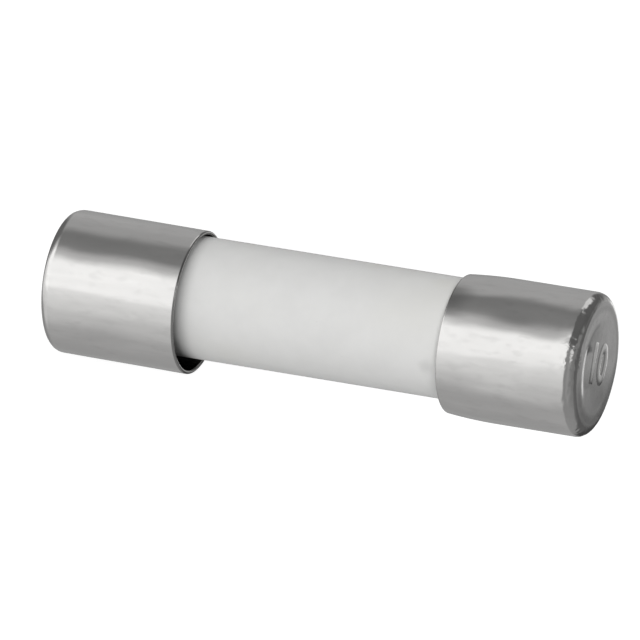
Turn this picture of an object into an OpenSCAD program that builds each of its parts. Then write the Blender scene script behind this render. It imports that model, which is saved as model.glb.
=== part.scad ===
// Miniature cartridge fuse, 5 x 20 mm: a ceramic tube with a fuse wire in sand, and a metal cap at each end.
// It stands on its lower cap. The origin is the middle of that cap's end face, and +Z runs along the fuse.

/* [Fuse] */
// Length over both caps
fuse_len = 20.3; // [16:0.1:40]
// Outside diameter of the caps
cap_d = 5.2; // [4.8:0.1:8]

/* [End caps] */
// Length of one cap, from its end face to its mouth
cap_len = 5.2; // [4:0.1:7]
// Thickness of the drawn wall
cap_wall = 0.15; // [0.1:0.01:0.25]
// Thickness of the closed end
cap_end_t = 0.25; // [0.15:0.01:0.5]
// Outside radius of the shoulder round the closed end
shoulder_r = 0.42; // [0.3:0.02:0.7]
// Inside radius of that shoulder
inner_shoulder_r = 0.22; // [0.1:0.02:0.4]
// How far the upper cap's mouth is drawn in towards the tube, on the radius
mouth_draw = 0.09; // [0.03:0.01:0.15]
// Length over which that mouth is drawn in
mouth_draw_len = 1.8; // [1:0.1:2.2]

/* [Ceramic tube] */
// Bore of the tube
bore_d = 2.8; // [1.8:0.1:3.2]
// Chamfer on the edges of the tube's ends
tube_edge = 0.15; // [0.1:0.01:0.25]
// Room left between the tube and the drawn-in mouth, on the side where the tube leans against the caps
slip = 0.01; // [0.01:0.01:0.1]
// Room left in the wide side of the gap, beside the wire that is folded into it
wire_room = 0.19; // [0.1:0.01:0.3]

/* [Fuse wire] */
// Diameter of the wire
wire_d = 0.2; // [0.1:0.02:0.3]
// Length of wire that is folded down the outside of the tube
wire_fold = 1.3; // [1:0.1:2]
// Clearance between the wire and what it lies on
wire_fit = 0.01; // [0.01:0.005:0.03]

/* [Solder] */
// Solder between the wire and the closed end of the cap
solder_over = 0.24; // [0.1:0.02:0.5]
// How far solder has crept down the outside of the tube
solder_creep = 0.9; // [0.5:0.1:1.5]
// How far solder plugs the bore
solder_plug = 0.3; // [0.24:0.02:0.46]

/* [Hidden] */
$fn = 96;
long_arc_fn = 720;

nickel = [0.74, 0.73, 0.71];
ceramic = [0.87, 0.87, 0.86];
silver = [0.80, 0.79, 0.77];
solder = [0.62, 0.62, 0.63];
sand = [0.84, 0.81, 0.75];

cap_r = cap_d / 2;
cap_bore_r = cap_r - cap_wall;
lip_r = cap_wall / 2;
lip_z = cap_len - lip_r;

// The gap between tube and caps is wide where the wire is folded into it, and narrow on the other side,
// so the tube sits off the caps' axis, towards -X.
wide_gap = wire_d + wire_fit + wire_room;
narrow_gap = mouth_draw + slip;
tube_r = cap_bore_r - (wide_gap + narrow_gap) / 2;
tube_set_off = (wide_gap - narrow_gap) / 2;

tube_end_z = cap_end_t + solder_over + wire_d + wire_fit;
tube_len = fuse_len - 2 * tube_end_z;
bore_r = bore_d / 2;
sand_end_z = tube_end_z + solder_plug;
solder_top_z = tube_end_z + solder_creep;

// The wire is bent round the tube's chamfered edge, so the inside of its bends follows the chamfer's depth.
bend_to_chamfer = 2 / 3;
bend_r = bend_to_chamfer * tube_edge + wire_d / 2;

// Carries what is made for the lower end to the upper end.
module at_upper_end() {
    translate([0, 0, fuse_len]) mirror([0, 0, 1]) children();
}

// Carries what is made round the tube's own axis to where the tube sits in the caps.
module on_tube_axis() {
    translate([-tube_set_off, 0, 0]) children();
}

// Half section of what fills a cup of radius r: a floor at floor_z, a rounded shoulder and a straight side.
module cup_section(r, floor_z, shoulder, top_z) {
    translate([0, floor_z]) square([r - shoulder, top_z - floor_z]);
    translate([0, floor_z + shoulder]) square([r, top_z - floor_z - shoulder]);
    translate([r - shoulder, floor_z + shoulder]) circle(shoulder);
}

// Half section of the wall near a mouth that is drawn in by draw: an arc that runs on from the straight side.
module drawn_in_section(draw, side_top_z) {
    rise = lip_z - side_top_z;
    arc_r = (rise * rise + draw * draw) / (2 * draw);
    turn = asin(rise / arc_r);
    reach = 2 * arc_r;
    translate([cap_r - lip_r - arc_r, side_top_z]) intersection() {
        difference() {
            circle(arc_r + lip_r, $fn = long_arc_fn);
            circle(arc_r - lip_r, $fn = long_arc_fn);
        }
        polygon([[0, 0], [reach, 0], [reach * cos(turn), reach * sin(turn)]]);
    }
}

// Drawn cup, closed end at z = 0, with a full round on the lip of its mouth.
module end_cap(draw) {
    side_top_z = draw > 0 ? cap_len - mouth_draw_len : lip_z;
    rotate_extrude() {
        difference() {
            cup_section(cap_r, 0, shoulder_r, side_top_z);
            cup_section(cap_bore_r, cap_end_t, inner_shoulder_r, side_top_z);
        }
        if (draw > 0) drawn_in_section(draw, side_top_z);
        translate([cap_r - lip_r - draw, lip_z]) circle(lip_r);
    }
}

module lower_end_cap() {
    color(nickel) end_cap(0);
}

module upper_end_cap() {
    color(nickel) at_upper_end() end_cap(mouth_draw);
}

// Pressed and fired tube, chamfered inside and outside at both ends.
module tube() {
    on_tube_axis() translate([0, 0, tube_end_z]) rotate_extrude() polygon([
        [bore_r + tube_edge, 0],
        [tube_r - tube_edge, 0],
        [tube_r, tube_edge],
        [tube_r, tube_len - tube_edge],
        [tube_r - tube_edge, tube_len],
        [bore_r + tube_edge, tube_len],
        [bore_r, tube_len - tube_edge],
        [bore_r, tube_edge]
    ]);
}

module ceramic_tube() {
    color(ceramic) tube();
}

// A quarter turn of wire round the origin, in the plane y = 0, that begins start degrees round from +X.
module wire_bend(start) {
    rotate([90, 0, 0]) rotate_extrude(angle = 90, start = start) translate([bend_r, 0]) circle(d = wire_d);
}

// The lower half of the wire, from the middle of the fuse: down the bore, out across the tube's end face,
// and back up the outside of the tube in the wide side of the gap.
module half_wire() {
    run_z = tube_end_z - wire_fit - wire_d / 2;
    bend_z = run_z + bend_r;
    fold_x = tube_r + wire_fit + wire_d / 2;
    translate([0, 0, bend_z]) cylinder(d = wire_d, h = fuse_len / 2 - bend_z);
    translate([bend_r, 0, bend_z]) wire_bend(180);
    translate([bend_r, 0, run_z]) rotate([0, 90, 0]) cylinder(d = wire_d, h = fold_x - 2 * bend_r);
    translate([fold_x - bend_r, 0, bend_z]) wire_bend(270);
    translate([fold_x, 0, bend_z]) cylinder(d = wire_d, h = wire_fold);
}

module wire() {
    on_tube_axis() {
        half_wire();
        at_upper_end() half_wire();
    }
}

module fuse_wire() {
    color(silver) wire();
}

// Quartz sand, packed in the bore between the solder plugs, with the wire's straight passage through it.
module sand_column() {
    passage_r = wire_d / 2 + wire_fit;
    on_tube_axis() translate([0, 0, sand_end_z]) rotate_extrude()
        translate([passage_r, 0]) square([bore_r - passage_r, fuse_len - 2 * sand_end_z]);
}

module sand_filling() {
    color(sand) sand_column();
}

// Solder that has filled the closed end of a cap, round the tube's end and the wire, and set.
// Above its plug the bore is left to the sand, as far up as the solder has crept outside.
module cap_solder() {
    difference() {
        rotate_extrude() cup_section(cap_bore_r, cap_end_t, inner_shoulder_r, solder_top_z);
        tube();
        on_tube_axis() translate([0, 0, sand_end_z]) cylinder(r = bore_r, h = solder_top_z);
        wire();
    }
}

module lower_solder() {
    color(solder) cap_solder();
}

module upper_solder() {
    color(solder) at_upper_end() cap_solder();
}

ceramic_tube();
fuse_wire();
sand_filling();
lower_solder();
upper_solder();
lower_end_cap();
upper_end_cap();
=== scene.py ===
"""Miniature cartridge fuse: drawn metal caps on a fired ceramic tube, with wire, solder and sand inside."""

import math

import bmesh
import bpy
from bpy.props import (
    FloatProperty,
    FloatVectorProperty,
    IntProperty,
    PointerProperty,
    StringProperty,
)
from mathutils import Matrix, Vector


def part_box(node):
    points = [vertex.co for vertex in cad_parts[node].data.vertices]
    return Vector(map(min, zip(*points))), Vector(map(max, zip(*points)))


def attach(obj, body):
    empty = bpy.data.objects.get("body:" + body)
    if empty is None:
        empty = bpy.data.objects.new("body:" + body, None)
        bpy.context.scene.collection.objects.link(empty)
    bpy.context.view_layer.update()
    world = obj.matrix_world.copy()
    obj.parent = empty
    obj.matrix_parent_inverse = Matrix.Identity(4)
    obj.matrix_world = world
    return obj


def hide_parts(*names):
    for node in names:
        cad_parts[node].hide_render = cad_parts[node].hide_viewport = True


bl_info = {
    "name": "Cartridge Fuse",
    "version": (1, 0, 0),
    "blender": (4, 5, 0),
    "location": "3D View > Sidebar > Fuse",
    "description": "Builds a ceramic cartridge fuse with drawn metal caps, and the studio it is shown in",
    "category": "Add Mesh",
}

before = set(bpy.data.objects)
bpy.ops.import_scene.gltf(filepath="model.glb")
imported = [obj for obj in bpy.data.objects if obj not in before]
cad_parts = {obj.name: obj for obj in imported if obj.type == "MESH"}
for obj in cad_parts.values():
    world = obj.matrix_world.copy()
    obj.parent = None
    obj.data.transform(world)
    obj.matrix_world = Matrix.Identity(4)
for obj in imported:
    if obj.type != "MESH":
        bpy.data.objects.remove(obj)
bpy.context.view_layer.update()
LOWER_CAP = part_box("lower_end_cap")
UPPER_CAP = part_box("upper_end_cap")
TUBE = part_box("ceramic_tube")

MM = 0.001
CAP_RADIUS = (LOWER_CAP[1].x - LOWER_CAP[0].x) / 2
CAP_LENGTH = LOWER_CAP[1].z - LOWER_CAP[0].z
FUSE_LENGTH = UPPER_CAP[1].z
TUBE_RADIUS = (TUBE[1].x - TUBE[0].x) / 2
TUBE_AXIS_X = (TUBE[1].x + TUBE[0].x) / 2
TUBE_LENGTH = TUBE[1].z - TUBE[0].z
UPPER_MOUTH = FUSE_LENGTH - CAP_LENGTH

# Points closer than this become one.
WELD = 0.0002 * MM
# The least radius that anything is divided by.
NEAR_AXIS = 0.01 * MM

# The floor pressed into an end face deepens in this level direction, in a cap with its closed end down.
# It starts this far from the axis on the other side, and is fully deep after this run.
FLOOR_WAY = (0.242, 0.970)
FLOOR_START = 0.8 * MM
FLOOR_RUN = 2.1 * MM
# Its share of the full depth on the axis.
FLOOR_AT_AXIS = 0.38


class Value:
    """One output socket. Arithmetic on it adds Math nodes to its tree."""

    def __init__(self, board, socket):
        self.board = board
        self.socket = socket

    def other(self, output):
        """Another output of the same node."""
        return Value(self.board, self.socket.node.outputs[output])

    def _math(self, operation, *terms):
        return self.board.node("ShaderNodeMath", dict(enumerate(terms)), operation=operation)

    def __add__(self, term):
        return self._math("ADD", self, term)

    def __radd__(self, term):
        return self._math("ADD", term, self)

    def __sub__(self, term):
        return self._math("SUBTRACT", self, term)

    def __rsub__(self, term):
        return self._math("SUBTRACT", term, self)

    def __mul__(self, term):
        return self._math("MULTIPLY", self, term)

    def __rmul__(self, term):
        return self._math("MULTIPLY", term, self)

    def __truediv__(self, term):
        return self._math("DIVIDE", self, term)

    def __rtruediv__(self, term):
        return self._math("DIVIDE", term, self)

    def __mod__(self, term):
        return self._math("MODULO", self, term)

    def __pow__(self, term):
        return self._math("POWER", self, term)

    def __neg__(self):
        return self._math("MULTIPLY", self, -1.0)

    def __abs__(self):
        return self._math("ABSOLUTE", self)

    def floor(self):
        return self._math("FLOOR", self)

    def ceil(self):
        return self._math("CEIL", self)

    def sine(self):
        return self._math("SINE", self)

    def cosine(self):
        return self._math("COSINE", self)

    def arcsine(self):
        return self._math("ARCSINE", self)

    def arctan2(self, term):
        return self._math("ARCTAN2", self, term)

    def degrees(self):
        return self._math("DEGREES", self)

    def least(self, term):
        return self._math("MINIMUM", self, term)

    def most(self, term):
        return self._math("MAXIMUM", self, term)

    def eased(self, start, end, low=0.0, high=1.0):
        """Smooth ramp from low at start to high at end. Start may lie above end."""
        return self.board.node(
            "ShaderNodeMapRange",
            {"Value": self, "From Min": start, "From Max": end, "To Min": low, "To Max": high},
            interpolation_type="SMOOTHSTEP",
        )

    def within(self, start, end, soft):
        """One between start and end, and zero outside, over soft edges."""
        return self.eased(start - soft, start + soft) * self.eased(end + soft, end - soft)


class Board:
    """Adds nodes to one tree: a material's, the world's, or a Geometry Nodes tree."""

    def __init__(self, tree):
        self.tree = tree
        tree.nodes.clear()

    def node(self, kind, inputs=None, output=0, **settings):
        """Makes a node: its settings first, then its sockets from values or links. Returns one output."""
        made = self.tree.nodes.new(kind)
        for name, setting in settings.items():
            if name == "stops":
                self._set_stops(made.color_ramp, setting)
            elif name == "items":
                while len(made.index_switch_items) < setting:
                    made.index_switch_items.new()
            else:
                setattr(made, name, setting)
        for key, value in (inputs or {}).items():
            socket = self._find(made.inputs, key)
            if isinstance(value, Value):
                self.tree.links.new(value.socket, socket)
            else:
                socket.default_value = value
        if output is None:
            return None
        return Value(self, self._find(made.outputs, output))

    @staticmethod
    def _find(sockets, key):
        if isinstance(key, str):
            for socket in sockets:
                if socket.identifier == key:
                    return socket
        return sockets[key]

    @staticmethod
    def _set_stops(ramp, stops):
        ramp.interpolation = "EASE"
        while len(ramp.elements) < len(stops):
            ramp.elements.new(1.0)
        for element, (position, level) in zip(ramp.elements, stops):
            element.position = position
            element.color = (level, level, level, 1.0)

    def split(self, vector):
        x = self.node("ShaderNodeSeparateXYZ", {"Vector": vector}, "X")
        return x, x.other("Y"), x.other("Z")

    def join(self, x, y, z):
        return self.node("ShaderNodeCombineXYZ", {"X": x, "Y": y, "Z": z})

    def vector(self, operation, *terms, output="Vector"):
        return self.node("ShaderNodeVectorMath", dict(enumerate(terms)), output, operation=operation)

    def mix(self, factor, first, second):
        return self.node(
            "ShaderNodeMix",
            {"Factor_Float": factor, "A_Color": first, "B_Color": second},
            "Result_Color",
            data_type="RGBA",
        )

    def place(self):
        return self.node("ShaderNodeTexCoord", output="Object")

    def bump(self, height, distance, strength):
        inputs = {"Height": height, "Distance": distance, "Strength": strength}
        return self.node("ShaderNodeBump", inputs, "Normal")

    def noise(self, vector, scale, detail=2.0, roughness=0.5, seed=0.0, distortion=0.0):
        return self.node(
            "ShaderNodeTexNoise",
            {
                "Vector": vector,
                "W": seed,
                "Scale": scale,
                "Detail": detail,
                "Roughness": roughness,
                "Distortion": distortion,
            },
            noise_dimensions="4D",
        )


FLOAT, WHOLE, YES_NO = "NodeSocketFloat", "NodeSocketInt", "NodeSocketBool"
MATERIAL = "NodeSocketMaterial"


def new_tree(name, inputs, geometry_in=False):
    """Starts a Geometry Nodes tree. Each input is a name, a socket type and what it is for."""
    tree = bpy.data.node_groups.new(name, "GeometryNodeTree")
    tree.interface.new_socket("Geometry", in_out="OUTPUT", socket_type="NodeSocketGeometry")
    if geometry_in:
        tree.interface.new_socket("Section", in_out="INPUT", socket_type="NodeSocketGeometry")
    for label, kind, purpose in inputs:
        socket = tree.interface.new_socket(label, in_out="INPUT", socket_type=kind)
        socket.description = purpose
    board = Board(tree)
    board.node("NodeGroupInput", output=None)
    sockets = tree.nodes[0].outputs
    given = {socket.name: Value(board, socket) for socket in sockets if socket.name}
    return board, given


def finish_tree(board, geometry, material):
    """Ends a tree that makes a finished piece."""
    real = board.node("GeometryNodeRealizeInstances", {"Geometry": geometry})
    dressed = board.node("GeometryNodeSetMaterial", {"Geometry": real, "Material": material})
    board.node("NodeGroupOutput", {"Geometry": dressed}, None)
    return board.tree


def along(x, y, way):
    """Distance from the axis along a level direction."""
    return x * way[0] + y * way[1]


def section_curve(board, corners, rounding):
    """Half section as a curve in the XZ plane: corners are (radius, height), each with its rounding."""
    index = board.node("GeometryNodeInputIndex")
    places = {0: index}
    radii = {0: index}
    for i, (x, z) in enumerate(corners):
        places[i + 1] = board.join(x, 0.0, z)
        radii[i + 1] = rounding[i]
    count = len(corners)
    place = board.node("GeometryNodeIndexSwitch", places, items=count, data_type="VECTOR")
    radius = board.node("GeometryNodeIndexSwitch", radii, items=count, data_type="FLOAT")
    line = board.node("GeometryNodeMeshLine", {"Count": count})
    line = board.node("GeometryNodeSetPosition", {"Geometry": line, "Position": place})
    curve = board.node("GeometryNodeMeshToCurve", {"Mesh": line})
    return board.node(
        "GeometryNodeFilletCurve",
        {"Curve": curve, "Count": 12, "Radius": radius, "Limit Radius": True},
        mode="POLY",
    )


def turned_skin_tree():
    """Turns a half section once round Z into one closed skin, with no seam and no open pole."""
    board, given = new_tree(
        "Turned Skin",
        [
            ("Run Step", FLOAT, "Longest step between points along a straight run of the section"),
            ("Segments", WHOLE, "Number of faces round the piece"),
        ],
        geometry_in=True,
    )
    segments = given["Segments"]
    index = board.node("GeometryNodeInputIndex")
    position = board.node("GeometryNodeInputPosition")

    following = board.node(
        "GeometryNodeFieldAtIndex", {"Index": index + 1, "Value": position}, data_type="FLOAT_VECTOR"
    )
    run = board.vector("DISTANCE", position, following, output="Value")
    cuts = ((run / given["Run Step"]).ceil() - 1).most(0.0)
    section = board.node("GeometryNodeSubdivideCurve", {"Curve": given["Section"], "Cuts": cuts})
    section = board.node("GeometryNodeCurveToMesh", {"Curve": section})
    count = board.node("GeometryNodeAttributeDomainSize", {"Geometry": section}, "Point Count")

    across = segments + 1
    sheet = board.node("GeometryNodeMeshGrid", {"Vertices X": count, "Vertices Y": across})
    point = board.node(
        "GeometryNodeSampleIndex",
        {"Geometry": section, "Value": position, "Index": (index / across).floor()},
        data_type="FLOAT_VECTOR",
    )
    radius, _, height = board.split(point)
    turn = (index % across) / segments * math.tau
    place = board.join(radius * turn.cosine(), radius * turn.sine(), height)
    skin = board.node("GeometryNodeSetPosition", {"Geometry": sheet, "Position": place})
    skin = board.node("GeometryNodeMergeByDistance", {"Geometry": skin, "Distance": WELD})
    skin = board.node("GeometryNodeFlipFaces", {"Mesh": skin})
    skin = board.node("GeometryNodeSetShadeSmooth", {"Geometry": skin})
    board.node("NodeGroupOutput", {"Geometry": skin}, None)
    return board.tree


def pressed_end_face(board, given, place, r):
    """Height of the end face's relief: its pressed floor, its rim, its crown and a faint ripple."""
    x, y, z = board.split(place)
    outside = z.eased(given["End Thickness"], given["End Thickness"] * 0.6)
    edge, slope = given["Recess Radius"], given["Recess Slope"]
    rim = given["Radius"] - given["Shoulder"]
    across = along(x, y, FLOOR_WAY)
    cosine_of_48, cosine_of_22 = 0.669, 0.927
    steep = (across / r.most(NEAR_AXIS)).eased(cosine_of_48, cosine_of_22)
    hollow = ((across + FLOOR_START) / FLOOR_RUN).most(0.0).least(1.0)
    recess = hollow * r.eased(edge + slope, edge * (steep * 0.4 + 0.6)) * given["Recess Depth"]
    low_side = (0.966, 0.259)
    beside = along(x, y, low_side).eased(rim * -0.5, rim * 0.5)
    fall = r.eased(edge + slope * 0.8, rim + 0.15 * MM) * given["Rim Fall"] * beside
    crown = (((r / rim) ** 2.0).least(1.0) - 1.0) * given["Crown"]
    ripple = board.noise(place, 900.0, detail=1.0, seed=given["Seed"])
    ripple = (ripple - 0.4).most(0.0) * r.eased(rim, rim * 0.6) * given["Rim Fall"] * 0.6
    return outside * (recess + fall + crown + ripple)


def shoulder_dents(board, given, place, r):
    """Shift inwards for the small dents round the shoulder."""
    _, _, z = board.split(place)
    radius, shoulder = given["Radius"], given["Shoulder"]
    on_shoulder = r.eased(radius - shoulder * 0.9, radius - shoulder * 0.25)
    near_end = z.eased(shoulder * 1.3, shoulder * 0.6)
    knocks = board.noise(place, 3400.0, detail=2.0, seed=given["Seed"]).eased(0.46, 0.75)
    dent = knocks * on_shoulder * near_end * given["Dents"]
    normal = board.node("GeometryNodeInputNormal")
    return board.node("ShaderNodeVectorMath", {"Vector": normal, "Scale": -dent}, operation="SCALE")


def drawn_cap_tree(turned_skin):
    """Deep-drawn cup, closed end down: rounded shoulder, full round on the lip, and a pressed end face."""
    board, given = new_tree(
        "Drawn Cap",
        [
            ("Radius", FLOAT, "Outside radius of the straight wall"),
            ("Length", FLOAT, "From the end face to the lip"),
            ("Wall", FLOAT, "Thickness of the wall"),
            ("End Thickness", FLOAT, "Thickness of the closed end"),
            ("Shoulder", FLOAT, "Outside radius of the rounded shoulder"),
            ("Inner Shoulder", FLOAT, "Inside radius of the rounded shoulder"),
            ("Mouth Draw", FLOAT, "How far the mouth is drawn in"),
            ("Mouth Draw Length", FLOAT, "Length over which the mouth is drawn in"),
            ("Recess Radius", FLOAT, "Radius of the floor pressed into the end face"),
            ("Recess Slope", FLOAT, "Width of the slope round that floor"),
            ("Recess Depth", FLOAT, "Depth of that floor at its edge, on the side where it is pressed in"),
            ("Crown", FLOAT, "How far the end face falls from its middle to its rim"),
            ("Rim Fall", FLOAT, "How much further its rim falls on one side"),
            ("Lean", FLOAT, "How far the mouth sits to one side"),
            ("Wobble", FLOAT, "How far the wall wanders from a true cylinder"),
            ("Dents", FLOAT, "Depth of the small dents round the shoulder"),
            ("Seed", FLOAT, "Which wobble and dents this cap has"),
            ("Turned Over", YES_NO, "Puts the closed end up"),
            ("Top", FLOAT, "Height of the end face of a cap that is turned over"),
            ("Run Step", FLOAT, "Longest step between points along the section"),
            ("Segments", WHOLE, "Number of faces round the cap"),
            ("Material", MATERIAL, "Finish of the cap"),
        ],
    )
    radius, length, wall = given["Radius"], given["Length"], given["Wall"]
    bore = radius - wall
    lip = wall * 0.4999
    corners = [
        (0.0, 0.0),
        (radius, 0.0),
        (radius, length),
        (bore, length),
        (bore, given["End Thickness"]),
        (0.0, given["End Thickness"]),
    ]
    rounding = [0.0, given["Shoulder"], lip, lip, given["Inner Shoulder"], 0.0]
    section = section_curve(board, corners, rounding)
    skin = board.node(
        "GeometryNodeGroup",
        {"Section": section, "Run Step": given["Run Step"], "Segments": given["Segments"]},
        node_tree=turned_skin,
    )

    place = board.node("GeometryNodeInputPosition")
    x, y, z = board.split(place)
    r = (x * x + y * y) ** 0.5
    start = length - given["Mouth Draw Length"]
    rise = given["Mouth Draw Length"] - wall * 0.5
    drawn = ((z - start) / rise).most(0.0).least(1.0)
    draw = drawn * drawn * given["Mouth Draw"]

    outer = r.eased(radius - wall * 0.6, radius - wall * 0.2)
    wander = board.noise(board.join(x, y, z * 0.5), 330.0, detail=1.0, seed=given["Seed"])
    # Only noise above a threshold presses the wall in, and it starts softly, without a crease.
    threshold, softness = 0.3, 0.007
    wander = wander - threshold
    wander = (wander + (wander * wander + softness) ** 0.5) * 0.5 * outer
    scale = 1.0 - (draw + given["Wobble"] * wander) / r.most(NEAR_AXIS)
    lean = given["Lean"] * z / length
    relief = pressed_end_face(board, given, place, r)

    shaped = board.join(x * scale + lean, y * scale, z + relief)
    shaped = board.vector("ADD", shaped, shoulder_dents(board, given, place, r))
    skin = board.node("GeometryNodeSetPosition", {"Geometry": skin, "Position": shaped})

    over = board.node(
        "GeometryNodeSwitch",
        {"Switch": given["Turned Over"], "False": place, "True": board.join(x, -y, given["Top"] - z)},
        input_type="VECTOR",
    )
    skin = board.node("GeometryNodeSetPosition", {"Geometry": skin, "Position": over})
    return finish_tree(board, skin, given["Material"])


def fired_tube_tree(turned_skin):
    """Ceramic tube with worn chamfers inside and outside at both ends."""
    board, given = new_tree(
        "Fired Tube",
        [
            ("Radius", FLOAT, "Outside radius"),
            ("Bore Radius", FLOAT, "Radius of the bore"),
            ("Length", FLOAT, "Length of the tube"),
            ("Edge", FLOAT, "Chamfer on the ends"),
            ("Worn", FLOAT, "Rounding of the chamfer's edges"),
            ("Axis X", FLOAT, "Where the tube's axis lies"),
            ("Bottom", FLOAT, "Height of the tube's lower end"),
            ("Wobble", FLOAT, "How far the wall wanders from a true cylinder"),
            ("Seed", FLOAT, "Which wobble the tube has"),
            ("Run Step", FLOAT, "Longest step between points along the section"),
            ("Segments", WHOLE, "Number of faces round the tube"),
            ("Material", MATERIAL, "Finish of the tube"),
        ],
    )
    radius, bore, length, edge = given["Radius"], given["Bore Radius"], given["Length"], given["Edge"]
    worn = given["Worn"]
    middle = (bore + radius) * 0.5
    corners = [
        (middle, 0.0),
        (radius - edge, 0.0),
        (radius, edge),
        (radius, length - edge),
        (radius - edge, length),
        (bore + edge, length),
        (bore, length - edge),
        (bore, edge),
        (bore + edge, 0.0),
        (middle, 0.0),
    ]
    section = section_curve(board, corners, [0.0] + [worn] * 8 + [0.0])
    skin = board.node(
        "GeometryNodeGroup",
        {"Section": section, "Run Step": given["Run Step"], "Segments": given["Segments"]},
        node_tree=turned_skin,
    )
    place = board.node("GeometryNodeInputPosition")
    x, y, z = board.split(place)
    r = (x * x + y * y) ** 0.5
    wander = board.noise(place, 260.0, detail=2.0, seed=given["Seed"])
    scale = 1.0 - given["Wobble"] * wander * r.eased(middle, radius) / r
    shaped = board.join(x * scale + given["Axis X"], y * scale, z + given["Bottom"])
    skin = board.node("GeometryNodeSetPosition", {"Geometry": skin, "Position": shaped})
    return finish_tree(board, skin, given["Material"])


def grow(name, tree, settings):
    """Runs a tree and keeps its result as a plain mesh."""
    piece = bpy.data.objects.new(name, bpy.data.meshes.new(name))
    bpy.context.scene.collection.objects.link(piece)
    modifier = piece.modifiers.new(tree.name, "NODES")
    modifier.node_group = tree
    for socket in tree.interface.items_tree:
        if socket.in_out == "INPUT" and socket.name in settings:
            modifier[socket.identifier] = settings[socket.name]
    depsgraph = bpy.context.evaluated_depsgraph_get()
    mesh = bpy.data.meshes.new_from_object(piece.evaluated_get(depsgraph), depsgraph=depsgraph)
    mesh.name = name
    piece.modifiers.remove(modifier)
    piece.data = mesh
    if not mesh.polygons:
        raise RuntimeError(f"{name} came out empty")
    return piece


def new_material(name, build):
    """Makes a material whose surface is what build returns."""
    material = bpy.data.materials.new(name)
    material.use_nodes = True
    board = Board(material.node_tree)
    board.node("ShaderNodeOutputMaterial", {"Surface": build(board)}, None)
    return material


def shade(colour, factor):
    """A colour made darker or brighter."""
    return tuple(c * factor for c in colour[:3]) + (1.0,)


def end_face_painted_shade(board, tone, base, x, y, z, haze):
    """The upper end face: painted shade on one side and round part of its rim, a painted darker far rim,
    and painted shade in the foot of its step.
    """
    end = z.eased(FUSE_LENGTH - 0.15 * MM, FUSE_LENGTH - 0.03 * MM)
    r = (x * x + y * y) ** 0.5
    # Painted shade: the face is darkened towards +X.
    painted_dark_side = x.eased(-0.1 * MM, 1.3 * MM) * r.eased(2.2 * MM, 1.5 * MM)
    tone = board.mix(painted_dark_side * end * 0.85, tone, shade(base, 0.4))
    # Painted shade round the rim on the -X side.
    painted_dark_rim = r.eased(1.85 * MM, 2.1 * MM) * r.eased(2.36 * MM, 2.26 * MM) * x.eased(0.6 * MM, -0.6 * MM)
    tone = board.mix(painted_dark_rim * end * 0.6, tone, shade(base, 0.6))
    # Painted shade: the far rim and the top of the shoulder there are darkened, standing in for a dark
    # reflection.
    far_rim_way = (0.423, 0.906)
    painted_far_rim_shade = (along(x, y, far_rim_way) + (haze - 0.5) * 0.3 * MM).eased(1.5 * MM, 2.15 * MM)
    tone = board.mix(painted_far_rim_shade * end * 0.8, tone, shade(base, 0.25))
    # Painted shade in the foot of the step, on the side facing -X and -Y.
    step_shade_way = (-0.707, -0.707)
    facing = along(x, y, step_shade_way) / r.most(NEAR_AXIS)
    painted_step_shade = r.within(1.47 * MM, 1.6 * MM, 0.08 * MM) * facing.eased(0.82, 0.95)
    return board.mix(painted_step_shade * end * 0.8, tone, shade(base, 0.65))


def mouths_painted_shade(board, tone, base, x, y, z):
    """Painted shade on the lower cap's lip, and a painted dark band of reflection beside the upper cap's
    mouth.
    """
    lip = z.within(CAP_LENGTH - 0.07 * MM, CAP_LENGTH + 0.1 * MM, 0.02 * MM)
    # Painted shade on the lower cap's lip, except on its -X side.
    tone = board.mix(lip * x.eased(-1.9 * MM, -1.1 * MM) * 0.8, tone, shade(base, 0.55))
    # A painted dark band of reflection on the upper cap's wall, beside its mouth on the -X, -Y side.
    painted_dark_band = x.within(-1.98 * MM, -0.9 * MM, 0.1 * MM) * y.eased(-0.4 * MM, -1.2 * MM)
    above = z.eased(UPPER_MOUTH - 1.1 * MM, UPPER_MOUTH - 0.1 * MM)
    painted_dark_band = painted_dark_band * above * z.eased(UPPER_MOUTH + 1.1 * MM, UPPER_MOUTH + 0.1 * MM)
    return board.mix(painted_dark_band * 0.6, tone, shade(base, 0.4))


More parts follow.
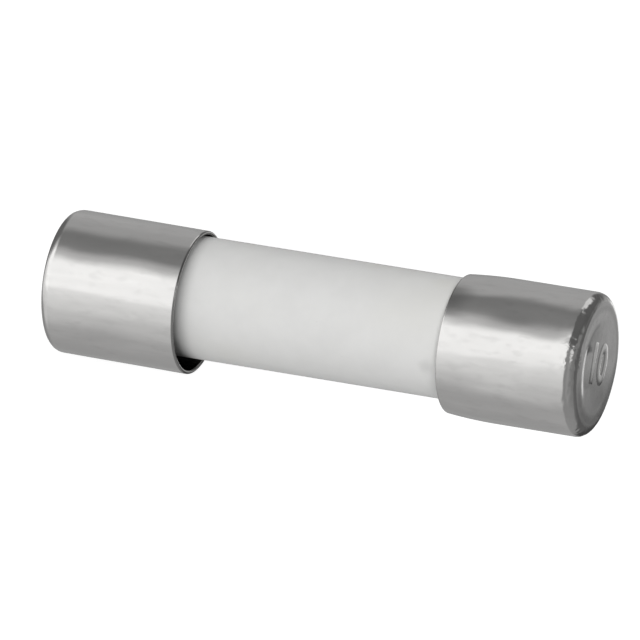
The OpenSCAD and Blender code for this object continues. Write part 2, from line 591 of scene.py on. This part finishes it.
def nickel_plating(board, look, highlight_gain=1.0):
    """Bright nickel over drawn brass: faint lines along the draw, a little haze in patches, and marks,
    among them painted shade on the upper end face and at the mouths.
    """
    place = board.place()
    x, y, z = board.split(place)
    lines = board.noise(board.join(x, y, z * 0.04), 9000.0, detail=3.0, seed=1.0)
    haze = board.noise(board.join(x, y, z * 0.4), 600.0, detail=3.0, roughness=0.6, seed=4.0)
    grain = board.noise(place, 14000.0, detail=2.0, seed=7.0)
    sway = board.noise(board.join(x, y, z * 0.7), 450.0, detail=1.0, seed=12.0)
    streaks = board.noise(board.join(x, y, z * 0.12), 1500.0, detail=3.0, seed=15.0)
    patches = haze.eased(0.35, 0.7)
    # The walls sway, the upper one most, and the upper one has a flat on its front.
    wall = z.within(0.7 * MM, FUSE_LENGTH - 0.7 * MM, 0.3 * MM)
    flat = x.eased(-0.3 * MM, -1.4 * MM) * x.eased(-2.6 * MM, -1.4 * MM) * y.eased(0.0, -1.0 * MM)
    flat = flat * z.eased(UPPER_MOUTH + 1.1 * MM, UPPER_MOUTH + 3.1 * MM)
    sway = (sway - 0.5) * z.eased(0.0, FUSE_LENGTH, 0.08, 0.2) - flat * 0.07
    knocked_place = (-0.2 * MM, -2.5 * MM, FUSE_LENGTH - 0.18 * MM)
    near_knocks = board.vector("DISTANCE", place, knocked_place, output="Value")
    scuffs = board.noise(place, 6000.0, detail=2.0, seed=21.0) * near_knocks.eased(0.7 * MM, 0.35 * MM)
    height = lines * 0.0004 + grain * 0.0002 + haze * 0.006 + sway * wall + scuffs * 0.022
    # A gain above one is a painted highlight: a brighter copy of the plating, used on the raised digits.
    base = shade(look.nickel, highlight_gain)
    tone = board.mix(streaks.eased(0.3, 0.7), shade(base, 0.94), shade(base, 1.04))
    tone = board.mix(patches, tone, shade(base, 0.92))
    flecks = board.noise(board.join(x, y, z * 0.4), 4200.0, detail=2.0, seed=18.0).eased(0.5, 0.72)
    tone = board.mix(flecks * 0.3, tone, shade(base, 0.82))
    tone = end_face_painted_shade(board, tone, base, x, y, z, haze)
    tone = mouths_painted_shade(board, tone, base, x, y, z)
    return board.node(
        "ShaderNodeBsdfPrincipled",
        {
            "Base Color": tone,
            "Metallic": 1.0,
            "Roughness": look.nickel_roughness + patches * 0.05 + (lines - 0.5) * 0.06 + flecks * 0.05,
            "Normal": board.bump(height, MM, 1.0),
        },
    )


def painted_highlight_nickel(board, look):
    """The same plating made brighter on the raised digits: a painted highlight."""
    return nickel_plating(board, look, highlight_gain=1.3)


def fired_ceramic(board, look):
    """Off-white pressed ceramic, unglazed: fine grain, faint mottling, a few kiln marks, and painted shade
    beside and inside the lower cap's mouth.
    """
    place = board.place()
    mottle = board.noise(place, 900.0, detail=5.0, roughness=0.6, seed=2.0)
    cloud = board.noise(place, 260.0, detail=2.0, seed=5.0).eased(0.45, 0.75)
    grain = board.noise(place, 22000.0, detail=2.0, seed=8.0)
    specks = board.noise(place, 5200.0, detail=1.0, seed=11.0).eased(0.74, 0.8)

    base = look.ceramic
    tone = board.mix(mottle.eased(0.3, 0.7), shade(base, 0.975), shade(base, 1.015))
    warm = (base[0] * 0.97, base[1] * 0.965, base[2] * 0.935, 1.0)
    tone = board.mix(cloud * 0.5, tone, warm)
    tone = board.mix(specks * 0.25, tone, shade(base, 0.7))
    for spot, size, strength, colour in (
        ((1.0 * MM, -1.87 * MM, 14.6 * MM), 0.42 * MM, 0.5, shade(base, 0.75)),
        ((-2.0 * MM, -1.15 * MM, 14.5 * MM), 0.5 * MM, 0.6, warm),
        ((-2.27 * MM, -0.6 * MM, 11.9 * MM), 0.6 * MM, 0.6, warm),
    ):
        away = board.vector("DISTANCE", place, spot, output="Value")
        mark = (away + (mottle - 0.5) * 0.5 * MM).eased(size, size * 0.2)
        tone = board.mix(mark * strength, tone, colour)
    x, _, z = board.split(place)
    lip = CAP_LENGTH + (mottle - 0.5) * 0.1 * MM
    # Painted shade: a soft darker band on the tube beside the lower cap's lip.
    tone = board.mix((z - lip).eased(0.5 * MM, -0.05 * MM) * 0.45, tone, shade(base, 0.5))
    # Darker painted shade in the gap inside the lower cap's mouth, on every side but -X.
    painted_gap_shade = (z - lip).eased(0.05 * MM, -0.2 * MM) * x.eased(-2.0 * MM, -1.3 * MM)
    tone = board.mix(painted_gap_shade, tone, shade(base, 0.27))
    bump = board.bump(grain * 0.6 + mottle, 0.004 * MM, 0.35)
    return board.node(
        "ShaderNodeBsdfPrincipled",
        {"Base Color": tone, "Roughness": 0.42 + mottle * 0.15, "IOR": 1.5, "Normal": bump},
    )


def tinned_wire(board, look):
    """Drawn copper wire with a bright tin coat."""
    place = board.place()
    x, y, z = board.split(place)
    lines = board.noise(board.join(x, y, z * 0.05), 30000.0, detail=2.0, seed=3.0)
    patches = board.noise(place, 3000.0, detail=3.0, seed=6.0)
    tone = board.mix(patches.eased(0.4, 0.7), shade(look.wire, 1.0), shade(look.wire, 0.85))
    bump = board.bump(lines, 0.001 * MM, 0.5)
    return board.node(
        "ShaderNodeBsdfPrincipled",
        {"Base Color": tone, "Metallic": 1.0, "Roughness": 0.28 + patches * 0.15, "Normal": bump},
    )


def set_solder(board, look):
    """Solder that has cooled slowly: frosty, with soft wrinkles."""
    place = board.place()
    wrinkles = board.noise(place, 1800.0, detail=4.0, roughness=0.6, seed=9.0, distortion=0.6)
    frost = board.noise(place, 12000.0, detail=2.0, seed=10.0)
    tone = board.mix(wrinkles.eased(0.3, 0.7), shade(look.solder, 0.85), shade(look.solder, 1.05))
    bump = board.bump(wrinkles + frost * 0.3, 0.02 * MM, 0.6)
    return board.node(
        "ShaderNodeBsdfPrincipled",
        {"Base Color": tone, "Metallic": 1.0, "Roughness": 0.38 + frost * 0.2, "Normal": bump},
    )


def quartz_sand(board, look):
    """Packed quartz grains, each with a tone of its own."""
    place = board.place()
    grains = board.node("ShaderNodeTexVoronoi", {"Vector": place, "Scale": 5500.0}, "Distance")
    each, _, _ = board.split(grains.other("Color"))
    tone = board.mix(each, shade(look.sand, 0.75), shade(look.sand, 1.15))
    tone = board.mix(grains.eased(0.35, 0.75), tone, shade(look.sand, 0.5))
    bump = board.bump(1.0 - grains, 0.06 * MM, 0.8)
    return board.node(
        "ShaderNodeBsdfPrincipled",
        {"Base Color": tone, "Roughness": 0.45 + each * 0.3, "Normal": bump},
    )


def pale_sweep(board, studio):
    """Pale paper under the fuse. It is clear from below, so that the lower end face can be seen."""
    paper = board.node(
        "ShaderNodeBsdfPrincipled",
        {
            "Base Color": tuple(studio.paper) + (1.0,),
            "Roughness": 0.9,
            "Emission Color": (1.0, 1.0, 1.0, 1.0),
            "Emission Strength": studio.paper_glow,
        },
    )
    clear = board.node("ShaderNodeBsdfTransparent")
    below = board.node("ShaderNodeNewGeometry", output="Backfacing")
    return board.node("ShaderNodeMixShader", {0: below, 1: paper, 2: clear})


# Brightness of the table and what stands round it, just under the horizon, by degrees from the front
# towards -X: a long white card in front, a dark gap beside it, and a grey room behind.
TABLE = (
    (-180, 0.33),
    (-150, 0.43),
    (-90, 0.51),
    (-60, 0.74),
    (-40, 0.93),
    (-17, 1.10),
    (-12, 1.38),
    (26, 1.40),
    (44, 0.66),
    (58, 0.27),
    (80, 0.25),
    (98, 0.48),
    (130, 0.50),
    (180, 0.33),
)

# The same for what lies steeply below the fuse.
UNDER = (
    (-180, 0.50),
    (-160, 0.36),
    (-140, 0.30),
    (-110, 0.45),
    (-80, 0.75),
    (-30, 0.95),
    (-15, 1.45),
    (52, 1.45),
    (68, 0.60),
    (84, 0.20),
    (122, 0.17),
    (165, 0.17),
    (180, 0.50),
)


def level_round(board, turn, levels):
    """Brightness all round, from stops in degrees."""
    stops = [((degrees + 180) / 360, level / 2) for degrees, level in levels]
    ramp = board.node("ShaderNodeValToRGB", {"Fac": (turn + 180.0) / 360.0}, stops=stops)
    level, _, _ = board.split(ramp)
    return level * 2.0


# Angles in the functions below are in degrees. turn goes from -180 to 180, from the front towards -X,
# back is the same turn from 0 to 360, and height is above the horizon.
def table_and_below(board, turn, height):
    """TABLE near the horizon, UNDER lower down, and white straight below."""
    table = level_round(board, turn, TABLE)
    under = level_round(board, turn, UNDER)
    steep = height.eased(-25.0, -40.0)
    table = table * (1.0 - steep) + under * steep
    straight = height.eased(-64.0, -80.0)
    return table * (1.0 - straight) + straight


def grey_room(turn, back, height):
    """A grey room: a dark flag, a darker back with a pale card and a gap in it, a lamp and a window."""
    room = 0.35 - height.eased(35.0, 75.0) * 0.08
    flag = turn.within(28.0, 150.0, 8.0) * height.within(-6.0, 62.0, 6.0)
    room = room * (1.0 - flag * 0.6)
    room = room * (1.0 - abs(turn).eased(135.0, 160.0) * 0.48)
    past = back + height.eased(18.0, 8.0) * 2.5
    card = past.eased(155.0, 168.0) * past.eased(183.5, 178.5) * height.within(-2.0, 30.0, 4.0)
    room = room + card * 0.28
    gap = height.within(-8.0, 14.0, 3.0) * 0.4 + height.within(-8.0, 34.0, 6.0) * 0.25
    room = room * (1.0 - past.eased(181.5, 183.5) * past.eased(216.0, 212.0) * gap)
    lamp = turn.within(2.0, 28.0, 7.0) * height.within(32.0, 58.0, 8.0)
    spill = turn.within(-70.0, 10.0, 12.0) * height.within(20.0, 66.0, 10.0)
    window = turn.within(90.0, 126.0, 5.0) * height.within(-8.0, 19.0, 5.0)
    return room + lamp * 0.8 + spill * 0.07 + window * 0.75


def studio_surround(board):
    """What the polished caps mirror. The camera itself sees plain white."""
    way = board.node("ShaderNodeTexCoord", output="Generated")
    x, y, z = board.split(way)
    turn = (-x).arctan2(-y).degrees()
    height = z.most(-1.0).least(1.0).arcsine().degrees()
    back = (turn + 360.0) % 360.0

    above = height.eased(-11.0, -4.0)
    level = table_and_below(board, turn, height) * (1.0 - above) + grey_room(turn, back, height) * above
    strip = back.eased(167.0, 173.0) * back.eased(183.0, 181.0) * height.within(-9.0, 9.0, 4.0)
    level = level + strip * 0.8
    seen = board.node("ShaderNodeLightPath", output="Is Camera Ray")
    level = level * (1.0 - seen.other("Is Diffuse Ray") * 0.4)
    level = level * (1.0 - seen) + seen * 1.1
    return board.node("ShaderNodeBackground", {"Color": board.join(level, level, level), "Strength": 1.0})


def length(name, description, default):
    return FloatProperty(
        name=name,
        description=description,
        default=default,
        min=0.0,
        subtype="DISTANCE",
        unit="LENGTH",
        precision=5,
    )


def colour(name, description, default):
    return FloatVectorProperty(
        name=name, description=description, default=default, min=0.0, max=1.0, size=3, subtype="COLOR"
    )


class CapSizes(bpy.types.PropertyGroup):
    radius: length("Radius", "Outside radius of a cap", CAP_RADIUS)
    cap_length: length("Length", "From a cap's end face to its lip", CAP_LENGTH)
    wall: length("Wall", "Thickness of the drawn wall", 0.15 * MM)
    end_thickness: length("End Thickness", "Thickness of the closed end", 0.25 * MM)
    shoulder: length("Shoulder", "Outside radius of the shoulder", 0.42 * MM)
    inner_shoulder: length("Inner Shoulder", "Inside radius of the shoulder", 0.22 * MM)
    mouth_draw: length("Mouth Draw", "How far the upper cap's mouth is drawn in", 0.09 * MM)
    mouth_draw_length: length("Mouth Draw Length", "Length over which it is drawn in", 1.8 * MM)
    recess_radius: length("Recess Radius", "Radius of the floor pressed into an end face", 1.33 * MM)
    recess_slope: length("Recess Slope", "Width of the slope round that floor", 0.46 * MM)
    recess_depth: length("Recess Depth", "Depth of that floor at its edge", 0.05 * MM)
    crown: length("Crown", "How far the upper end face falls from its middle to its rim", 0.012 * MM)
    rim_fall: length("Rim Fall", "How much further its rim falls on one side", 0.022 * MM)
    lean: length("Lean", "How far the lower cap's mouth sits to one side", 0.05 * MM)
    wobble: length("Wobble", "How far a wall wanders from a true cylinder", 0.035 * MM)
    dents: length("Dents", "Depth of the dents round the upper cap's shoulder", 0.022 * MM)
    run_step: length("Run Step", "Longest step between points along the section", 0.07 * MM)
    segments: IntProperty(name="Segments", description="Faces round a cap", default=288, min=24, max=400)


class TubeSizes(bpy.types.PropertyGroup):
    radius: length("Radius", "Outside radius of the tube", TUBE_RADIUS)
    bore_radius: length("Bore Radius", "Radius of the bore", 1.4 * MM)
    tube_length: length("Length", "Length of the tube", TUBE_LENGTH)
    edge: length("Edge", "Chamfer on the tube's ends", 0.15 * MM)
    worn: length("Worn", "Rounding of the chamfer's edges", 0.03 * MM)
    wobble: length("Wobble", "How far the wall wanders from a true cylinder", 0.006 * MM)
    run_step: length("Run Step", "Longest step between points along the section", 0.2 * MM)
    segments: IntProperty(name="Segments", description="Faces round the tube", default=192, min=24, max=400)


class StampSizes(bpy.types.PropertyGroup):
    number: StringProperty(
        name="Number", description="Plain raised number on the upper end face", default="10"
    )
    height: length("Height", "Height of a digit", 1.3 * MM)
    relief: length("Relief", "Half a digit's thickness, of which three fifths stand proud", 0.032 * MM)
    bevel: length("Bevel", "Width of the soft edge of a digit", 0.2 * MM)


class Finishes(bpy.types.PropertyGroup):
    nickel: colour("Nickel", "Mirror colour of the plating", (0.656, 0.650, 0.640))
    nickel_roughness: FloatProperty(
        name="Nickel Roughness", description="Lower is more mirror-like", default=0.13, min=0.0, max=1.0
    )
    ceramic: colour("Ceramic", "Colour of the fired tube", (0.594, 0.594, 0.586))
    wire: colour("Wire", "Colour of the tinned wire", (0.75, 0.74, 0.71))
    solder: colour("Solder", "Colour of the solder", (0.52, 0.52, 0.53))
    sand: colour("Sand", "Colour of the quartz sand", (0.66, 0.61, 0.52))


class Studio(bpy.types.PropertyGroup):
    paper: colour("Paper", "Colour of the floor", (0.86, 0.86, 0.86))
    paper_glow: FloatProperty(
        name="Paper Glow", description="Light the floor gives off", default=0.78, min=0.0
    )
    key_power: FloatProperty(
        name="Key Light",
        description="Power of the round soft light",
        default=2.1,
        min=0.0,
        subtype="POWER",
        unit="POWER",
    )
    elevation: FloatProperty(
        name="Elevation",
        description="Angle of the camera above the floor",
        default=math.radians(18.9347),
        subtype="ANGLE",
        unit="ROTATION",
    )
    roll: FloatProperty(
        name="Roll",
        description="Turn of the camera about its line of sight",
        default=math.radians(99.2295),
        subtype="ANGLE",
        unit="ROTATION",
    )
    distance: length("Distance", "From the camera to its target on the fuse's axis", 345.3128 * MM)
    target_height: length("Target Height", "Height of the camera's target", 10.0 * MM)
    lens: FloatProperty(name="Lens", description="Focal length in millimetres", default=545.82, min=1.0)


def cap_settings(caps, material, **own):
    """What both caps share, and what this one has of its own."""
    settings = {
        "Radius": caps.radius,
        "Length": caps.cap_length,
        "Wall": caps.wall,
        "End Thickness": caps.end_thickness,
        "Shoulder": caps.shoulder,
        "Inner Shoulder": caps.inner_shoulder,
        "Mouth Draw": 0.0,
        "Mouth Draw Length": caps.mouth_draw_length,
        "Recess Radius": caps.recess_radius,
        "Recess Slope": caps.recess_slope,
        "Recess Depth": caps.recess_depth,
        "Crown": 0.0,
        "Rim Fall": caps.rim_fall,
        "Lean": 0.0,
        "Wobble": caps.wobble,
        "Dents": 0.0,
        "Top": FUSE_LENGTH,
        "Run Step": caps.run_step,
        "Segments": caps.segments,
        "Material": material,
    }
    settings.update(own)
    return settings


def shared_tree(name, make):
    """The tree of this name, made the first time that it is asked for."""
    return bpy.data.node_groups.get(name) or make()


def shared_material(name, build, look):
    """The material of this name, made the first time that it is asked for."""
    return bpy.data.materials.get(name) or new_material(name, lambda board: build(board, look))


def cap_tree():
    skin = shared_tree("Turned Skin", turned_skin_tree)
    return shared_tree("Drawn Cap", lambda: drawn_cap_tree(skin))


class FUSE_OT_lower_cap(bpy.types.Operator):
    """Make the lower end cap, with its plain open mouth"""

    bl_idname = "fuse.lower_cap"
    bl_label = "Lower End Cap"

    def execute(self, context):
        caps = context.scene.fuse_caps
        nickel = shared_material("nickel_plating", nickel_plating, context.scene.fuse_finishes)
        cap = grow("drawn_lower_cap", cap_tree(), cap_settings(caps, nickel, Seed=3.0, Lean=caps.lean))
        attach(cap, "root")
        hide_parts("lower_end_cap")
        return {"FINISHED"}


class FUSE_OT_upper_cap(bpy.types.Operator):
    """Make the upper end cap, with its drawn-in mouth and dented shoulder"""

    bl_idname = "fuse.upper_cap"
    bl_label = "Upper End Cap"

    def execute(self, context):
        caps = context.scene.fuse_caps
        nickel = shared_material("nickel_plating", nickel_plating, context.scene.fuse_finishes)
        own = {
            "Mouth Draw": caps.mouth_draw,
            "Crown": caps.crown,
            "Dents": caps.dents,
            "Seed": 8.0,
            "Turned Over": True,
        }
        cap = grow("drawn_upper_cap", cap_tree(), cap_settings(caps, nickel, **own))
        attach(cap, "root")
        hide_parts("upper_end_cap")
        return {"FINISHED"}


class FUSE_OT_stamp(bpy.types.Operator):
    """Set a plain raised number on the floor that is pressed into the upper end face"""

    bl_idname = "fuse.stamp"
    bl_label = "Stamped Number"

    def execute(self, context):
        stamp, caps = context.scene.fuse_stamp, context.scene.fuse_caps
        mesh = self.cut_digits(context, stamp)
        mesh.transform(self.place_on_floor(stamp, caps))
        shell = bmesh.new()
        shell.from_mesh(mesh)
        bmesh.ops.remove_doubles(shell, verts=shell.verts, dist=WELD)
        bmesh.ops.recalc_face_normals(shell, faces=shell.faces)
        shell.to_mesh(mesh)
        shell.free()
        number = bpy.data.objects.new("stamped_number", mesh)
        context.scene.collection.objects.link(number)
        mesh.materials.clear()
        mesh.materials.append(shared_material("painted_highlight_nickel", painted_highlight_nickel, context.scene.fuse_finishes))
        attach(number, "root")
        return {"FINISHED"}

    @staticmethod
    def cut_digits(context, stamp):
        text = bpy.data.curves.new("stamped_number", "FONT")
        text.body = stamp.number
        text.align_x, text.align_y = "CENTER", "CENTER"
        digit_share_of_font = 0.7
        text.size = stamp.height / digit_share_of_font
        text.extrude = 0.1 * stamp.bevel
        text.bevel_depth = stamp.bevel
        text.bevel_resolution = 5
        text.resolution_u = 8
        text.offset = -0.4 * stamp.bevel
        lettering = bpy.data.objects.new("stamped_number", text)
        context.scene.collection.objects.link(lettering)
        depsgraph = context.evaluated_depsgraph_get()
        mesh = bpy.data.meshes.new_from_object(lettering.evaluated_get(depsgraph), depsgraph=depsgraph)
        bpy.data.objects.remove(lettering)
        return mesh

    @staticmethod
    def place_on_floor(stamp, caps):
        half_thickness = 1.1 * stamp.bevel
        flatten = Matrix.Scale(stamp.relief / half_thickness, 4, (0, 0, 1))
        rooted_share = 0.4
        sunk = FLOOR_AT_AXIS * caps.recess_depth + rooted_share * stamp.relief
        floor = Matrix.Translation((0, 0, FUSE_LENGTH + caps.crown - sunk))
        hinge = Vector((FLOOR_WAY[1], FLOOR_WAY[0], 0))
        fall = Matrix.Rotation(caps.recess_depth / FLOOR_RUN, 4, hinge)
        quarter_turn = Matrix.Rotation(math.radians(90), 4, "Z")
        return floor @ fall @ quarter_turn @ flatten


class FUSE_OT_tube(bpy.types.Operator):
    """Make the fired ceramic tube"""

    bl_idname = "fuse.tube"
    bl_label = "Ceramic Tube"

    def execute(self, context):
        sizes = context.scene.fuse_tube
        skin = shared_tree("Turned Skin", turned_skin_tree)
        tree = shared_tree("Fired Tube", lambda: fired_tube_tree(skin))
        settings = {
            "Radius": sizes.radius,
            "Bore Radius": sizes.bore_radius,
            "Length": sizes.tube_length,
            "Edge": sizes.edge,
            "Worn": sizes.worn,
            "Axis X": TUBE_AXIS_X,
            "Bottom": TUBE[0].z,
            "Wobble": sizes.wobble,
            "Seed": 2.0,
            "Run Step": sizes.run_step,
            "Segments": sizes.segments,
            "Material": shared_material("fired_ceramic", fired_ceramic, context.scene.fuse_finishes),
        }
        tube = grow("fired_tube", tree, settings)
        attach(tube, "root")
        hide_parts("ceramic_tube")
        return {"FINISHED"}


class FUSE_OT_inside(bpy.types.Operator):
    """Finish what is inside the fuse: the wire, the solder and the sand"""

    bl_idname = "fuse.inside"
    bl_label = "Wire, Solder and Sand"

    def execute(self, context):
        for node, name, build in (
            ("fuse_wire", "tinned_wire", tinned_wire),
            ("lower_solder", "set_solder", set_solder),
            ("upper_solder", "set_solder", set_solder),
            ("sand_filling", "quartz_sand", quartz_sand),
        ):
            material = shared_material(name, build, context.scene.fuse_finishes)
            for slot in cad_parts[node].material_slots:
                slot.material = material
        return {"FINISHED"}


class FUSE_OT_studio(bpy.types.Operator):
    """Lay the pale floor, and set up the light, the surround and the camera"""

    bl_idname = "fuse.studio"
    bl_label = "Studio"

    def execute(self, context):
        scene, studio = context.scene, context.scene.fuse_studio
        self.lay_floor(scene, studio)
        self.hang_light(scene, studio)
        world = bpy.data.worlds.new("studio_surround")
        world.use_nodes = True
        board = Board(world.node_tree)
        board.node("ShaderNodeOutputWorld", {"Surface": studio_surround(board)}, None)
        scene.world = world
        self.set_camera(scene, studio)
        scene.view_settings.view_transform = "Standard"
        return {"FINISHED"}

    @staticmethod
    def lay_floor(scene, studio):
        reach = 3.0
        mesh = bpy.data.meshes.new("floor")
        corners = [(-reach, -reach, 0), (reach, -reach, 0), (reach, reach, 0), (-reach, reach, 0)]
        mesh.from_pydata(corners, [], [(0, 1, 2, 3)])
        mesh.materials.append(new_material("pale_sweep", lambda board: pale_sweep(board, studio)))
        floor = bpy.data.objects.new("floor", mesh)
        floor.visible_glossy = False
        scene.collection.objects.link(floor)

    @staticmethod
    def hang_light(scene, studio):
        lamp = bpy.data.lights.new("key_light", "AREA")
        lamp.shape = "DISK"
        lamp.size = 0.32
        lamp.energy = studio.key_power
        key = bpy.data.objects.new("key_light", lamp)
        turn, height, distance = math.radians(6), math.radians(28), 0.6
        level = math.cos(height)
        way = Vector((-math.sin(turn) * level, -math.cos(turn) * level, math.sin(height)))
        key.location = Vector((0, 0, studio.target_height)) + way * distance
        key.rotation_euler = way.to_track_quat("Z", "Y").to_euler()
        key.visible_camera = False
        key.visible_glossy = False
        scene.collection.objects.link(key)

    @staticmethod
    def set_camera(scene, studio):
        back = Vector((0, -math.cos(studio.elevation), math.sin(studio.elevation)))
        level = Vector((1, 0, 0))
        right = level * math.cos(studio.roll) + back.cross(level) * math.sin(studio.roll)
        up = back.cross(right)
        lens = bpy.data.cameras.new("camera")
        lens.lens = studio.lens
        lens.sensor_width = 36
        # The middle of the picture is shifted, in pixels of a picture this wide.
        picture_width, shift_right, shift_up = 640, -4.847, 1.7406
        lens.shift_x = shift_right / picture_width
        lens.shift_y = shift_up / picture_width
        lens.clip_start = 0.01
        lens.clip_end = 50
        camera = bpy.data.objects.new("camera", lens)
        turned = Matrix((right, up, back)).transposed().to_4x4()
        target = Vector((0, 0, studio.target_height))
        camera.matrix_world = Matrix.Translation(target + back * studio.distance) @ turned
        scene.collection.objects.link(camera)
        scene.camera = camera


class FUSE_PT_sidebar(bpy.types.Panel):
    bl_label = "Cartridge Fuse"
    bl_idname = "FUSE_PT_sidebar"
    bl_space_type = "VIEW_3D"
    bl_region_type = "UI"
    bl_category = "Fuse"

    def draw(self, context):
        scene = context.scene
        for operator, groups in PANEL:
            box = self.layout.box()
            box.operator(operator)
            for group in groups:
                sizes = getattr(scene, group)
                for name in sizes.__annotations__:
                    box.prop(sizes, name)


PANEL = (
    ("fuse.lower_cap", ("fuse_caps",)),
    ("fuse.upper_cap", ()),
    ("fuse.stamp", ("fuse_stamp",)),
    ("fuse.tube", ("fuse_tube",)),
    ("fuse.inside", ("fuse_finishes",)),
    ("fuse.studio", ("fuse_studio",)),
)
GROUPS = {
    "fuse_caps": CapSizes,
    "fuse_tube": TubeSizes,
    "fuse_stamp": StampSizes,
    "fuse_finishes": Finishes,
    "fuse_studio": Studio,
}
OPERATORS = (
    FUSE_OT_lower_cap,
    FUSE_OT_upper_cap,
    FUSE_OT_stamp,
    FUSE_OT_tube,
    FUSE_OT_inside,
    FUSE_OT_studio,
)


def register():
    for name, group in GROUPS.items():
        bpy.utils.register_class(group)
        setattr(bpy.types.Scene, name, PointerProperty(type=group))
    for operator in OPERATORS:
        bpy.utils.register_class(operator)
    bpy.utils.register_class(FUSE_PT_sidebar)


def unregister():
    bpy.utils.unregister_class(FUSE_PT_sidebar)
    for operator in reversed(OPERATORS):
        bpy.utils.unregister_class(operator)
    for name, group in reversed(list(GROUPS.items())):
        delattr(bpy.types.Scene, name)
        bpy.utils.unregister_class(group)


def main():
    register()
    bpy.ops.fuse.lower_cap()
    bpy.ops.fuse.upper_cap()
    bpy.ops.fuse.stamp()
    bpy.ops.fuse.tube()
    bpy.ops.fuse.inside()
    bpy.ops.fuse.studio()


if __name__ == "__main__":
    main()
